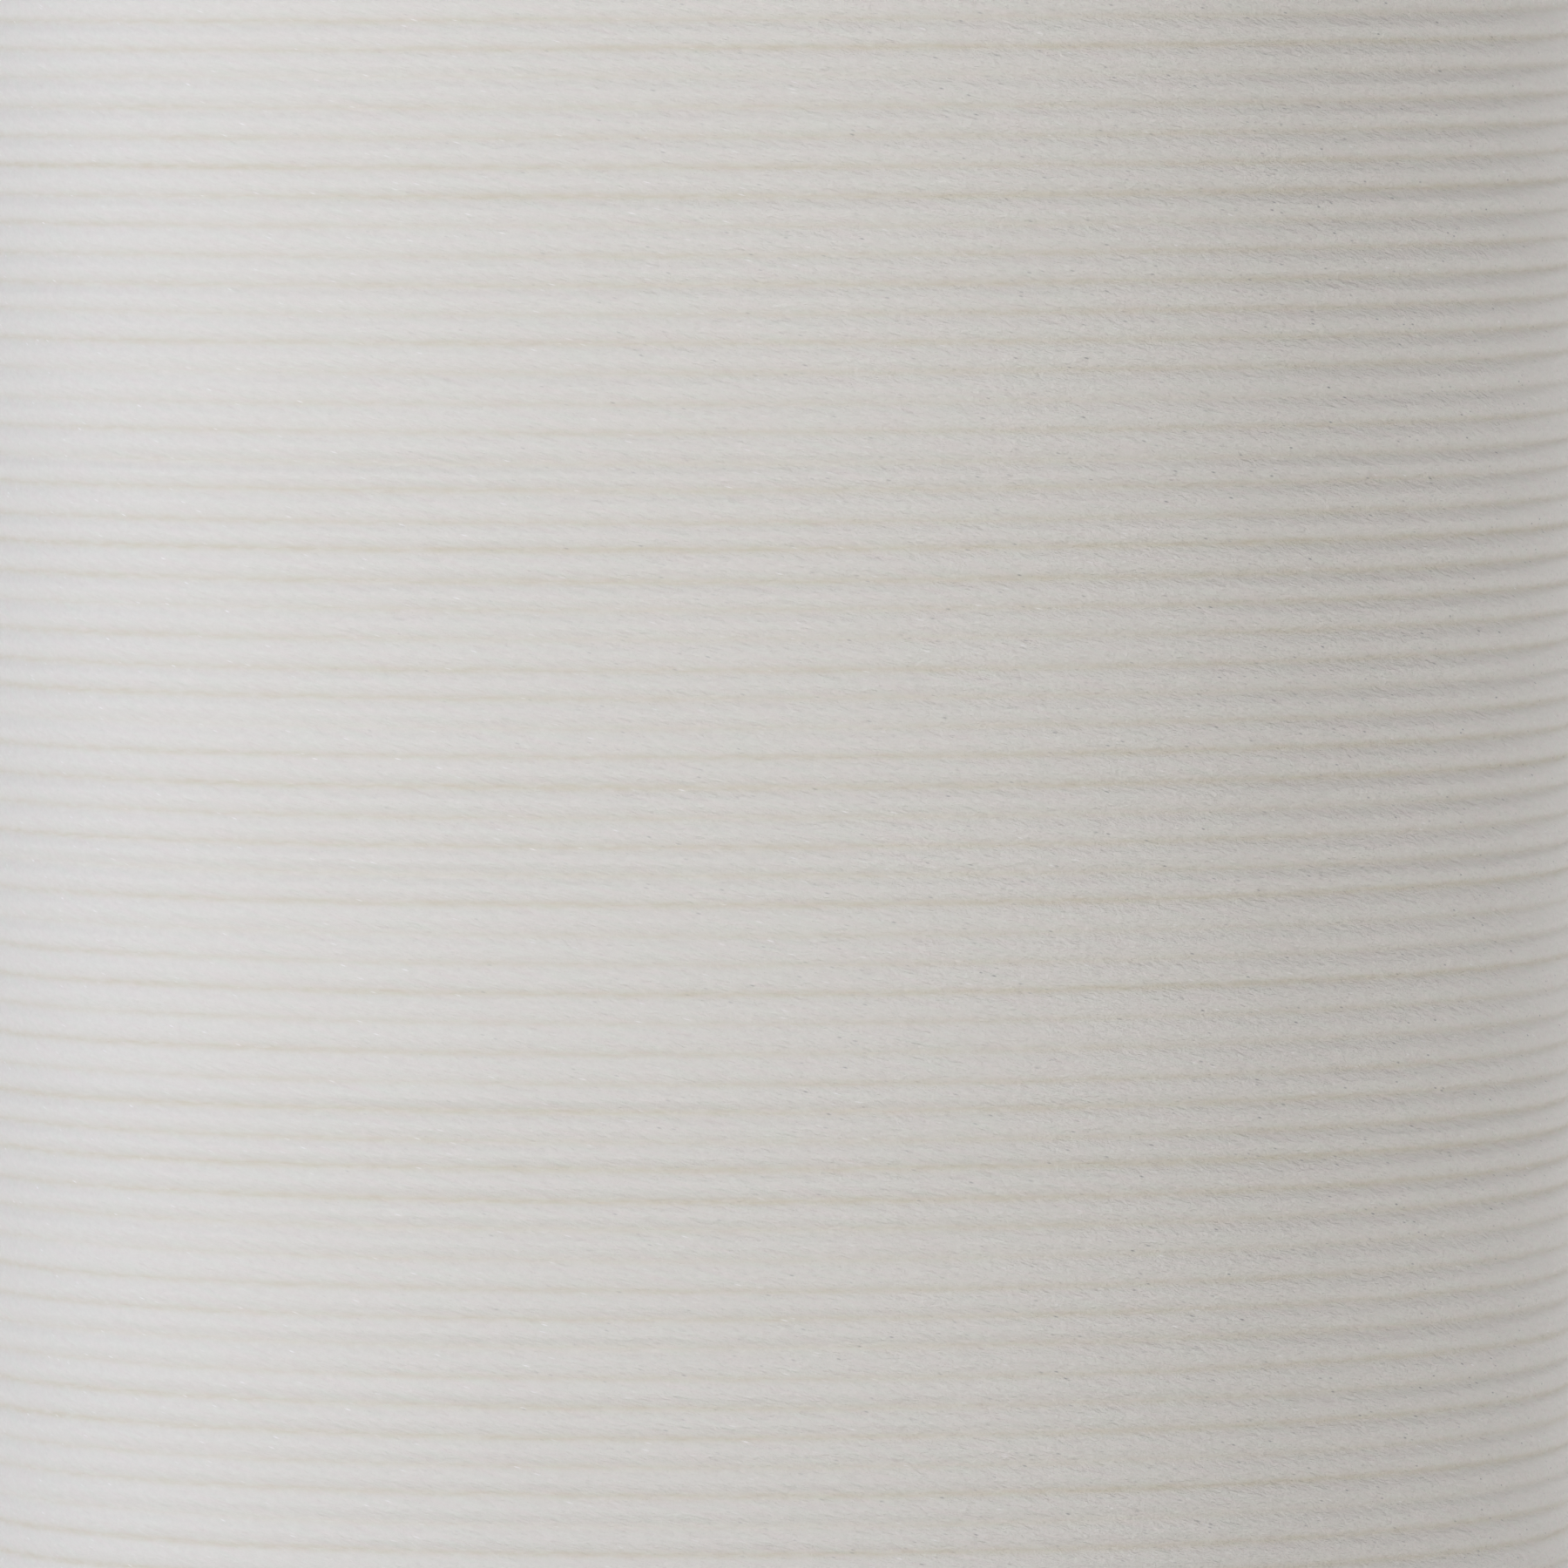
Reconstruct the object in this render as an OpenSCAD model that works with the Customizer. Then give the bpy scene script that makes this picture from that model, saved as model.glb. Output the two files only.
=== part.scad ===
// Waxed thread spool: a paper tube with two pressed-in flanges, wound full of flat waxed thread,
// on a snap base that lifts open to hold or free the end of the thread.
// Millimetres, +Z up along the spool, origin at the centre of the base's underside.

/* [Thread and winding] */
// Width of one thread, flattened on the winding
thread_w = 1; // [0.7:0.1:1.5]
// Thickness of the flattened thread
thread_t = 0.5; // [0.3:0.1:0.8]
// Diameter of the thread where nothing flattens it
tail_d = 0.8; // [0.6:0.1:1]
// How far the full winding stays in from the flanges' edge
fill_margin = 6; // [4.5:0.5:9]
// Length of the winding, from flange to flange
winding_h = 96; // [72:1:120]
// Loops drawn on the outer layer, each a band of neighbouring turns
drawn_loops = 24; // [12:1:24]
// Gap between neighbouring drawn loops
loop_gap = 0.5; // [0.45:0.05:0.8]

/* [Core tube] */
// Wall of the paper tube
tube_wall = 2; // [1.5:0.1:3]
// Width of the adhesive strip that holds the start of the thread
tape_w = 14; // [8:1:25]
// Angle that the adhesive strip covers round the tube
tape_angle = 70; // [40:5:180]
// Thickness of the adhesive strip
tape_t = 0.15; // [0.1:0.05:0.3]
// Direction of the strip's middle round the tube
tape_direction = 150; // [-180:5:180]

/* [Flanges] */
// Radius of both flanges
flange_r = 34; // [32.5:0.5:40]
// Thickness of both flanges, with a fully rounded edge
flange_t = 3; // [2.4:0.1:4]
// Length of the plug that presses into the tube
plug_l = 11; // [10:0.5:20]
// Chamfer at the end of both plugs
plug_chamfer = 0.6; // [0.3:0.1:1]
// Wall of the top flange's plug
top_plug_wall = 2; // [1.2:0.1:2.4]
// Wall left round the bottom flange's catch groove
groove_wall = 0.93; // [0.73:0.1:1.53]
// Width of the cut in the top rim that parks the working end
park_cut_w = 0.8; // [0.6:0.1:1.2]
// Depth of that cut, in from the rim
park_cut_l = 4.5; // [2:0.5:5]
// Width of the notch that lets the thread through the bottom flange
notch_w = 4; // [3.8:0.1:6]
// How far the notch reaches in under the winding
notch_under = 3; // [2.5:0.5:5]
// Direction of the notch round the spool
notch_angle = -60; // [-180:5:180]

/* [Snap base] */
// Height of the base, up to the bottom flange
base_h = 5; // [4.8:0.1:8]
// How far the base's rim stays in from the edge of the flange above it
base_inset = 1; // [0.6:0.1:1.5]
// Radius of the rim's lower corner
base_corner = 0.8; // [0.4:0.1:1]
// Width of the base's rim
rim_w = 1.8; // [1.2:0.1:2]
// Thickness of the base's floor
floor_t = 1.6; // [1.4:0.1:2]
// Radius of the spindle bore through the base and the top flange
bore_r = 10; // [6:0.5:12]
// Wall of the collar that slides in the bottom flange
collar_wall = 1.4; // [1:0.1:2]
// Height of the collar above the base's rim
collar_l = 11; // [10:0.1:12]
// How far the spool lifts off the base
lock_travel = 2.5; // [1:0.1:3]
// Height of the catch bead round the collar
bead_h = 1.2; // [0.8:0.1:1.6]
// How far the catch bead stands out of the collar
bead_out = 0.45; // [0.3:0.05:0.5]
// Number of spring fingers that the collar is slit into
fingers = 6; // [3:1:8]
// Width of the slits between the fingers
slit_w = 1.5; // [1:0.1:2]
// Height above the base's rim at which the slits start
slit_up = 2; // [1:0.5:4]
// Height of the ledge that the thread's end is pinched on, above the floor
ledge_h = 1.8; // [1.2:0.1:2]
// Width of that ledge, inside the rim
ledge_w = 3.2; // [2.8:0.1:4]
// Number of stiffening ribs on the floor
floor_ribs = 6; // [3:1:12]
// Height of those ribs
floor_rib_h = 1.4; // [0.8:0.1:2]
// Thickness of those ribs
floor_rib_t = 1.2; // [0.8:0.1:1.6]
// Number of finger grips round the rim
grips = 3; // [2:1:6]
// Number of ribs in each finger grip
grip_ribs = 9; // [3:1:15]
// Angle from one grip rib to the next
grip_step = 3; // [2.5:0.5:4]
// Radius of one grip rib
grip_rib_r = 0.35; // [0.2:0.05:0.5]

/* [Labels] */
// Width of plastic left round the bore, inside each label's recess
label_hub = 1.5; // [1:0.1:4]
// Width of plastic left inside the flange's edge, outside each label's recess
label_edge = 5; // [4.5:0.5:10]
// Thickness of the paper labels
label_t = 0.2; // [0.1:0.05:0.3]
// Depth of the recess that each label lies in
recess_t = 0.5; // [0.4:0.05:0.8]

/* [Fits] */
// Clearance of a plug pressed into the tube, all round
press_clear = 0.02; // [0.01:0.01:0.05]
// Clearance of the collar sliding in the bottom flange, all round
slide_clear = 0.15; // [0.1:0.05:0.2]
// Clearance of the catch bead past its groove, out and along
stop_clear = 0.2; // [0.1:0.05:0.3]
// Clearance left between the closed base's rim and the flange
close_clear = 0.05; // [0.02:0.01:0.1]
// Clearance between the winding and what it lies against
soft_clear = 0.05; // [0.02:0.01:0.1]
// Clearance between a label and the edge of its recess
label_clear = 0.5; // [0.2:0.1:0.8]
// Clearance above and below the thread's end in the lock
pinch_clear = 0.1; // [0.05:0.05:0.2]

/* [Hidden] */
$fn = 96;
eps = 0.01;

plastic = "#26272a";
kraft = "#a9814f";
paper = "#efeae0";
tape = "#d9b45c";
thread = "#e6e2da";

// Heights
winding_z = base_h + flange_t;
top_z = winding_z + winding_h;
rim_top = base_h - close_clear;

// Radii that fit round each other, from the bore outwards
collar_r = bore_r + collar_wall;
slide_r = collar_r + slide_clear;
groove_r = collar_r + bead_out + stop_clear;
plug_r = groove_r + groove_wall;
tube_in_r = plug_r + press_clear;
tube_r = tube_in_r + tube_wall;

// Radii that follow the flanges' edge
winding_r = flange_r - fill_margin;
base_r = flange_r - base_inset;
ledge_r = base_r - rim_w - ledge_w;
edge_r = flange_t / 2;
recess_in_r = bore_r + label_hub;
recess_out_r = flange_r - label_edge;

// Catch bead, just under the collar's top
collar_top = base_h + collar_l;
bead_top = collar_top - bead_out;
bead_z = bead_top - bead_h;

// Lock: a ridge under the flange stands over the ledge, one thread and its clearance above it
ledge_z = floor_t + ledge_h;
ridge_z = ledge_z + tail_d + 2 * pinch_clear;
ridge_w = ledge_w / 2;
ridge_r = ledge_r + ledge_w / 2;

// Outer layer: rings of six corners round a flat band, swept down a right-handed helix. The
// first and last loops taper to a single thread, so that the layer fills up to both flanges.
rings_per_loop = 24;
lead_step = thread_w + loop_gap;
full_step = (winding_h - 2 * soft_clear + loop_gap - 2 * lead_step) / (drawn_loops - 1);
band_in_r = winding_r - thread_t;
pack_r = band_in_r * cos(180 / rings_per_loop) - soft_clear;
band_round = thread_t / 2;

// Drop of the thread's end through the notch: angle past the notch's middle, and the share of
// the way down and out from the winding to the lock
tail_drop = [
    [13.9, 0], [11, 0], [8, 0], [5, 0], [3.6, 0.02], [2.4, 0.1], [1.4, 0.26], [0.6, 0.42],
    [-0.2, 0.58], [-1, 0.74], [-2, 0.89], [-3.2, 0.97], [-4.6, 1]
];
// The outer layer ends just short of the drop
band_end_angle = notch_angle + tail_drop[0][0] + 0.1;
// After the drop, the end lies in the lock for so many steps of so many degrees
lock_steps = 9;
lock_step_angle = 8;
tail_sides = 8;

// ---- Helpers ----

function polar(p) = [p[1] * cos(p[0]), p[1] * sin(p[0]), p[2]];

// Triangles that close a tube made of rings of n corners each
function tube_faces(count, n) = concat(
    [for (i = [0:count - 2]) for (k = [0:n - 1]) [i * n + k, (i + 1) * n + k, i * n + (k + 1) % n]],
    [for (i = [0:count - 2]) for (k = [0:n - 1])
        [i * n + (k + 1) % n, (i + 1) * n + k, (i + 1) * n + (k + 1) % n]],
    [for (k = [1:n - 2]) [0, k, k + 1]],
    [for (k = [1:n - 2]) [(count - 1) * n, (count - 1) * n + k + 1, (count - 1) * n + k]]
);

// Height of the band's upper edge after t loops
function band_edge(t) = top_z - soft_clear
    - lead_step * (min(t, 1) + max(t - drawn_loops, 0))
    - full_step * (min(max(t, 1), drawn_loops) - 1);

// The band's ring at one step of the helix, with the loop below it a gap away
function band_ring(i) =
    let (t = i / rings_per_loop,
         angle = band_end_angle + (drawn_loops - t) * 360,
         high = band_edge(t),
         low = band_edge(t + 1) + loop_gap)
    [for (c = [[band_in_r, low + band_round], [band_in_r, high - band_round],
               [winding_r - band_round, high], [winding_r, high - band_round],
               [winding_r, low + band_round], [winding_r - band_round, low]])
        polar([angle, c[0], c[1]])];

// Direction of a route at point i, from its neighbours
function heading(points, i) =
    let (a = points[max(i - 1, 0)], b = points[min(i + 1, len(points) - 1)])
    (b - a) / norm(b - a);

// A round ring of the tail, square to its heading
function tail_ring(points, i) =
    let (along = heading(points, i),
         out = [points[i][0], points[i][1], 0] / norm([points[i][0], points[i][1]]),
         side = cross(along, out) / norm(cross(along, out)),
         up = cross(side, along))
    [for (k = [0:tail_sides - 1])
        let (a = (k + 0.5) * 360 / tail_sides)
        points[i] + tail_d / 2 * (cos(a) * up + sin(a) * side)];

// The tail's centre line: off the winding, down through the notch, round on the ledge
function tail_point(angle, down) =
    let (high = winding_z + soft_clear + thread_w / 2, low = ledge_z + pinch_clear + tail_d / 2,
         near = winding_r - thread_t / 2, far = ridge_r)
    polar([notch_angle + angle, near + down * (far - near), high + down * (low - high)]);

drop_end_angle = tail_drop[len(tail_drop) - 1][0];
tail_points = concat(
    [for (p = tail_drop) tail_point(p[0], p[1])],
    [for (i = [1:lock_steps]) tail_point(drop_end_angle - i * lock_step_angle, 1)]);

band_rings = [for (i = [0:drawn_loops * rings_per_loop]) band_ring(i)];

// Least distance between a ring's corners and those of the ring one loop below it
least_gap = min([for (i = [0:len(band_rings) - 1 - rings_per_loop])
    for (a = band_rings[i]) for (b = band_rings[i + rings_per_loop]) norm(a - b)]);
echo(str("least gap of the outer layer to itself: ", least_gap, " mm"));

module ring(r_out, r_in, z, h) {
    translate([0, 0, z]) difference() {
        cylinder(r = r_out, h = h);
        translate([0, 0, -eps]) cylinder(r = r_in, h = h + 2 * eps);
    }
}

// A flange's disc with a fully rounded edge, its lower face at z
module flange_disc(hole_r, z) {
    ring(flange_r - edge_r, hole_r, z, flange_t);
    translate([0, 0, z + edge_r]) rotate_extrude() difference() {
        translate([flange_r - edge_r, 0]) circle(r = edge_r, $fn = 48);
        translate([0, -flange_t]) square([flange_r - edge_r - eps, 2 * flange_t]);
    }
}

// A cut from radius r out past the rim, with a round inner end, at an angle round the spool
module radial_cut(angle, r, w, z, h) {
    rotate([0, 0, angle]) translate([r + w / 2, 0, z]) {
        translate([0, -w / 2, 0]) cube([flange_r, w, h]);
        cylinder(d = w, h = h, $fn = 32);
    }
}

// A plug's wall, chamfered at the end that enters the tube; up is 1 or -1
module plug(r_in, z, up) {
    translate([0, 0, z]) mirror([0, 0, up > 0 ? 0 : 1]) rotate_extrude() polygon([
        [r_in, -eps], [plug_r, -eps], [plug_r, plug_l - plug_chamfer],
        [plug_r - plug_chamfer, plug_l], [r_in, plug_l]
    ]);
}

// The recess that a label lies in, its floor or roof at z
module label_recess(z) {
    ring(recess_out_r, recess_in_r, z, flange_t);
}

module label_ring(z) {
    color(paper) ring(recess_out_r - label_clear, recess_in_r + label_clear, z, label_t);
}

// ---- Pieces ----

module core_tube() {
    color(kraft) ring(tube_r, tube_in_r, winding_z, winding_h);
}

module top_flange() {
    color(plastic) difference() {
        union() {
            flange_disc(bore_r, top_z);
            plug(plug_r - top_plug_wall, top_z, -1);
        }
        label_recess(top_z + flange_t - recess_t);
        radial_cut(notch_angle + 90, flange_r - park_cut_l, park_cut_w, top_z - eps, 2 * flange_t);
    }
}

module bottom_flange() {
    groove_z = bead_z - lock_travel - stop_clear;
    color(plastic) difference() {
        union() {
            flange_disc(slide_r, base_h);
            plug(slide_r, winding_z, 1);
            ring(ridge_r + ridge_w / 2, ridge_r - ridge_w / 2, ridge_z, base_h - ridge_z + eps);
        }
        ring(groove_r, collar_r, groove_z, collar_top + stop_clear - groove_z);
        radial_cut(notch_angle, winding_r - notch_under, notch_w, ridge_z - eps, base_h + flange_t);
    }
}

module base_bead() {
    rotate_extrude() polygon([
        [collar_r - eps, bead_z], [collar_r + bead_out, bead_z], [collar_r + bead_out, bead_top],
        [collar_r, collar_top], [collar_r - eps, collar_top]
    ]);
}

module finger_slits() {
    for (i = [0:fingers - 1]) rotate([0, 0, (i + 0.5) * 360 / fingers])
        translate([bore_r / 2, -slit_w / 2, base_h + slit_up])
            cube([bore_r, slit_w, collar_l]);
}

module base_floor_ribs() {
    inner = collar_r - collar_wall / 2;
    for (i = [0:floor_ribs - 1]) rotate([0, 0, i * 360 / floor_ribs])
        translate([inner, -floor_rib_t / 2, floor_t - eps])
            cube([ledge_r + ledge_w / 2 - inner, floor_rib_t, floor_rib_h + eps]);
}

module grip_ribs() {
    for (g = [0:grips - 1]) for (i = [0:grip_ribs - 1])
        rotate([0, 0, g * 360 / grips + (i - (grip_ribs - 1) / 2) * grip_step])
            translate([base_r, 0, base_corner])
                cylinder(r = grip_rib_r, h = rim_top - 2 * base_corner, $fn = 16);
}

module snap_base() {
    corner_in = base_corner * (1 - sin(45));
    color(plastic) difference() {
        union() {
            rotate_extrude() polygon([
                [bore_r, 0], [base_r - base_corner, 0], [base_r - corner_in, corner_in],
                [base_r, base_corner], [base_r, rim_top], [base_r - rim_w, rim_top],
                [base_r - rim_w, ledge_z], [ledge_r, ledge_z], [ledge_r, floor_t], [collar_r, floor_t],
                [collar_r, collar_top], [bore_r, collar_top]
            ]);
            base_bead();
            base_floor_ribs();
            grip_ribs();
        }
        finger_slits();
        label_recess(recess_t - flange_t);
    }
}

module tape_sector(r_out, angle, w) {
    translate([0, 0, winding_z + (winding_h - w) / 2]) rotate([0, 0, tape_direction - angle / 2])
        rotate_extrude(angle = angle) translate([tube_r, 0]) square([r_out - tube_r, w]);
}

// All the inner layers of thread, wound round the tube and over the strip
module thread_pack() {
    pocket = 2 * soft_clear;
    color(thread) difference() {
        ring(pack_r, tube_r + soft_clear, winding_z + soft_clear, winding_h - 2 * soft_clear);
        tape_sector(tube_r + soft_clear + tape_t + pocket, tape_angle + 2, tape_w + 2 * pocket);
    }
}

// The outer layer, one unbroken band from the top flange down to the thread's end
module outer_turns() {
    color(thread) polyhedron(
        points = [for (r = band_rings) for (p = r) p],
        faces = tube_faces(len(band_rings), len(band_rings[0])), convexity = 10);
}

module thread_tail() {
    count = len(tail_points);
    color(thread) polyhedron(
        points = [for (i = [0:count - 1]) for (p = tail_ring(tail_points, i)) p],
        faces = tube_faces(count, tail_sides), convexity = 4);
}

module start_tape() {
    color(tape) difference() {
        tape_sector(tube_r + soft_clear + tape_t, tape_angle, tape_w);
        cylinder(r = tube_r + soft_clear, h = top_z);
    }
}

module top_label() {
    label_ring(top_z + flange_t - recess_t);
}

module base_label() {
    label_ring(recess_t - label_t);
}

core_tube();
top_flange();
bottom_flange();
snap_base();
thread_pack();
outer_turns();
thread_tail();
start_tape();
top_label();
base_label();
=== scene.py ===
"""Looks of the waxed thread spool: every turn of its thread, its moulded flanges and base, paper
core and labels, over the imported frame. Lengths are in metres; MM turns millimetres into them."""

import math

import bmesh
import bpy
import numpy as np
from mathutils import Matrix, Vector


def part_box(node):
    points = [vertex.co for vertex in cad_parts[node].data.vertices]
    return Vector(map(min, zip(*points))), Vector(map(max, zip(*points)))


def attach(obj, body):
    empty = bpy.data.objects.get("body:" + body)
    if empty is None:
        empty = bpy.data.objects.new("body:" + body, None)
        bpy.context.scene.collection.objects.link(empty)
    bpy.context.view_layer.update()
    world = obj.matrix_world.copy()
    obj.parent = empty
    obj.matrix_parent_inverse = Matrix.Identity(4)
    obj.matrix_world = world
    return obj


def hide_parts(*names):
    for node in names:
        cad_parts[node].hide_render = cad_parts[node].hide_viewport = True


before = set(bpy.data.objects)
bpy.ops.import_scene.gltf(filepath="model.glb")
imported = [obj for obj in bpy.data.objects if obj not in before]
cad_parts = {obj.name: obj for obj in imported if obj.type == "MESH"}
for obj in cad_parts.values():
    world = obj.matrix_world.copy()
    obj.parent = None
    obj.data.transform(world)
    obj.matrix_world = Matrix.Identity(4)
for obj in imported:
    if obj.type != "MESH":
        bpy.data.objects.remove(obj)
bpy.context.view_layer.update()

MM = 0.001
TURN = 2 * math.pi

# ---- Sizes, from the frame where it holds them ----

WINDING_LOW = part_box("core_tube")[0].z
WINDING_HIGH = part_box("core_tube")[1].z
WINDING_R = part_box("outer_turns")[1].x

# Thread's end: down through the notch and round under the base's rim, millimetres
NOTCH_ANGLE = -60
TAIL_D = 0.8
TAIL_DROP = [  # angle past the notch's middle, and the share of the way down and out
    (13.9, 0), (11, 0), (8, 0), (5, 0), (3.6, 0.02), (2.4, 0.1), (1.4, 0.26), (0.6, 0.42),
    (-0.2, 0.58), (-1, 0.74), (-2, 0.89), (-3.2, 0.97), (-4.6, 1)]
TAIL_RUN = 72  # degrees on the ledge
TAIL_STEP = 2  # degrees from one point of its route there to the next
TAIL_HIGH = (27.75, 8.5)  # radius and height of its middle on the winding
TAIL_LOW = (29.6, 3.9)  # and on the ledge
TAIL_RINGS = 6  # of its mesh for each point of its route
TAIL_EVENED = 13  # of those rings, over which its drop is evened out
TAIL_EASE = 5  # mm over which its section turns from flat to round

# Camera
VIEW = 1800  # pixels across the square view
AXIS_X = 891  # pixel column of the spool's axis
HORIZON_Y = -206  # pixel row of the horizon, above the view
WINDING_R_PIXELS = 921  # half the winding's width
DISTANCE_IN_RADII = 30.67  # from the camera to the axis, in radii of the winding
VIEW_MIDDLE_Z = 56 * MM  # height on the winding of the view's middle
SENSOR = 36 * MM

# Outer layer of thread
TURNS = 95
PITCH = (WINDING_HIGH - WINDING_LOW) / (TURNS + 1)
TURN_STEPS = 224  # rings of the mesh in one turn
END_ANGLE = math.radians(-46)  # where the bottom turn leaves the winding
RUBBED_AND_SHADED_ANGLE = math.radians(-40)  # middle of the side that hands have rubbed, which is also the side in shade, where the dashes of painted shade are strongest
RUBBED_AND_SHADED_REACH = math.radians(85)  # over which the rubbing and the painted shade fade by a whole share
RUBBED_AND_SHADED_MOST = 1.15  # its share at the middle, before it is held to 1
RUBBED_AND_SHADED_LEAST = 0.06  # and all the way round
RUBBED_DEEPER = 0.5  # of a seam's depth that rubbing adds where it is whole
PIECE_JOINT_ANGLE = math.radians(90)  # the pieces of the layer meet at the back
SECTION = [  # of one turn: across from its middle (1 is its edge), depth below its crown in mm
    (-1, 0.117), (-0.94, 0.115), (-0.85, 0.109), (-0.74, 0.097), (-0.58, 0.068), (-0.34, 0.024),
    (-0.1, 0.002), (0.1, 0.002), (0.34, 0.024), (0.58, 0.068), (0.74, 0.097), (0.85, 0.109),
    (0.94, 0.115), (1, 0.117), (0.99, 0.3), (0.6, 0.5), (-0.6, 0.5), (-0.99, 0.3)]
WAX_AND_SHADE_REACH = np.array([  # share of the seam's wax and painted shade at each corner of the section, the last for its back
    1, 1, 0.75, 0.36, 0.07, 0, 0, 0, 0, 0.07, 0.36, 0.75, 1, 1])
SEAM_GAP = 0.0003 * MM  # just enough that neighbouring turns stay apart
WAX_DEPTH = 0.3 * MM  # of the waxed layers below, from the winding's outside: under the deepest seam
LAYER = 0.4  # mm from one layer's outside to the next one's
TOP_RISE = 0.06  # of a turn, over which the thread rises into the outer layer at the top
THREAD_MERGE = 0.0001 * MM  # corners nearer than this are one
THREAD_CREASE = math.radians(50)  # edges of a turn sharper than this stay sharp

# Layers below, millimetres
INNER_R = 15.05  # just outside the paper tube
INNER_END_GAP = 0.02  # to each flange
INNER_END_STEP = 1  # of their length at each flange, left lower for the ring that shows there
INNER_END_DROP = 0.25  # from that ring's crown to the step
INNER_STEPS = 360  # faces round them
END_RING_HALF = 0.48  # half the width of that ring
END_RING_STEPS = 240  # faces round it

# Moulded parts and labels
EDGE_WIDTH = 0.22 * MM  # of the rounding on the moulding's edges
SHARP = math.radians(32)  # edges sharper than this are rounded
FLAT = math.radians(0.5)  # faces that turn less than this are one
MOULDING_MERGE = 0.001 * MM  # corners nearer than this are one
MOULDING_CREASE = math.radians(40)  # edges sharper than this stay sharp
LABEL_RINGS = [(13.4, 0.14), (26.6, 0.3)]  # printed rings: radius and half width, millimetres


# ---- Small helpers ----

def wander(t, seed, span):
    """Smooth seeded noise of a run t, from -1 to 1, with a new value every span."""
    values = np.random.default_rng(seed).uniform(-1, 1, int(np.max(t) / span) + 3)
    at = np.asarray(t) / span
    i = np.floor(at).astype(int)
    f = at - i
    f = f * f * (3 - 2 * f)
    return values[i] * (1 - f) + values[i + 1] * f


def linear(hex_colour):
    """An sRGB hex colour as linear red, green, blue and alpha."""
    channels = [int(hex_colour[i:i + 2], 16) / 255 for i in (1, 3, 5)]
    return [c / 12.92 if c <= 0.04045 else ((c + 0.055) / 1.055) ** 2.4 for c in channels] + [1.0]


def new_object(name, mesh, material, body, replaces):
    """A finished piece on its body, in the place of the solids that it replaces."""
    piece = bpy.data.objects.new(name, mesh)
    bpy.context.scene.collection.objects.link(piece)
    mesh.materials.append(material)
    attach(piece, body)
    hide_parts(*replaces)
    return piece


def smooth(mesh):
    """Shades every face of a mesh smooth."""
    mesh.polygons.foreach_set("use_smooth", [True] * len(mesh.polygons))
    mesh.update()


def give_points(mesh, **shares):
    """Writes each named share, one value for each point, on a mesh for its material to read."""
    for name, values in shares.items():
        layer = mesh.attributes.new(name, "FLOAT", "POINT")
        layer.data.foreach_set("value", values.astype(np.float32).ravel())


def add(tree, kind, inputs=None, **settings):
    """Adds a node. An input, by its name or number, is a value or the output that feeds it."""
    node = tree.nodes.new(kind)
    for key, value in settings.items():
        setattr(node, key, value)
    for key, value in (inputs or {}).items():
        if isinstance(value, bpy.types.NodeSocket):
            tree.links.new(value, node.inputs[key])
        else:
            node.inputs[key].default_value = value
    return node


def new_material(name, **shader_values):
    """A material with its shader, and the shader's constant values by their names."""
    material = bpy.data.materials.new(name)
    material.use_nodes = True
    shader = material.node_tree.nodes["Principled BSDF"]
    for key, value in shader_values.items():
        shader.inputs[key.replace("_", " ")].default_value = value
    return material, material.node_tree, shader


# ---- Materials ----

FILAMENT_SLANT = math.radians(14)  # of the low twist, to the thread
FILAMENT_LENGTH = 0.5  # mm of a filament that shows before it dips under its neighbours
FILAMENT_WIDTH = 0.2  # mm of a bundle; single filaments are 0.02, its finest detail is 0.03
BUNDLES_PER_MM = (0.45, 4, 1)  # of broad bundles, along and across: 2.2 mm by 0.25 mm
SMEARS_PER_MM = (1.1, 5, 1)  # of wax, along and across: 0.9 mm by 0.2 mm
FILAMENT_RELIEF = 0.022 * MM  # height of the filaments
RUBBED_RELIEF = 0.125 * MM  # that rubbing adds where it is whole
BUNDLE_RELIEF = 0.03 * MM  # height of the broad bundles
GLINT_CELL = (0.8, 0.12)  # mm of thread, along and across, that may hold one painted glint of a filament
GLINT_SHARE = 0.08  # of those cells that hold one
GLINT_REACH = 0.22  # of a cell, from the glint's middle to its faded edge
SHADE_DASH_CELL = (0.5, 0.14)  # mm that may hold one dash of painted shade
SHADE_DASH_SHARE = 0.1  # of them that do, on the rubbed side, which is also the shaded one
SHADE_DASH_REACH = 0.24  # of a cell, as for a glint
DASH_CORE = 0.06  # of a cell, over which each painted glint and dash of painted shade is at its strongest


def dashes(tree, vector, cell, share, reach):
    """Short dashes scattered over a thread: 0 to 1, by cells of the given size in millimetres."""
    cells = add(tree, "ShaderNodeMapping", {"Vector": vector, "Scale": (1 / cell[0], 1 / cell[1], 1)})
    spot = add(tree, "ShaderNodeTexVoronoi", {"Vector": cells.outputs["Vector"], "Scale": 1.0},
               voronoi_dimensions="2D")
    random = add(tree, "ShaderNodeSeparateColor", {0: spot.outputs["Color"]})
    chosen = add(tree, "ShaderNodeMath", {0: random.outputs["Red"], 1: share}, operation="LESS_THAN")
    near = add(tree, "ShaderNodeMapRange", {
        "Value": spot.outputs["Distance"], "From Min": DASH_CORE, "From Max": reach,
        "To Min": 1.0, "To Max": 0.0})
    shown = add(tree, "ShaderNodeMath", {0: chosen.outputs[0], 1: near.outputs[0]}, operation="MULTIPLY")
    varied = add(tree, "ShaderNodeMath", {0: random.outputs["Green"], 1: random.outputs["Blue"]},
                 operation="MULTIPLY")
    return add(tree, "ShaderNodeMath", {0: shown.outputs[0], 1: varied.outputs[0]},
               operation="MULTIPLY").outputs[0]


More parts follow.
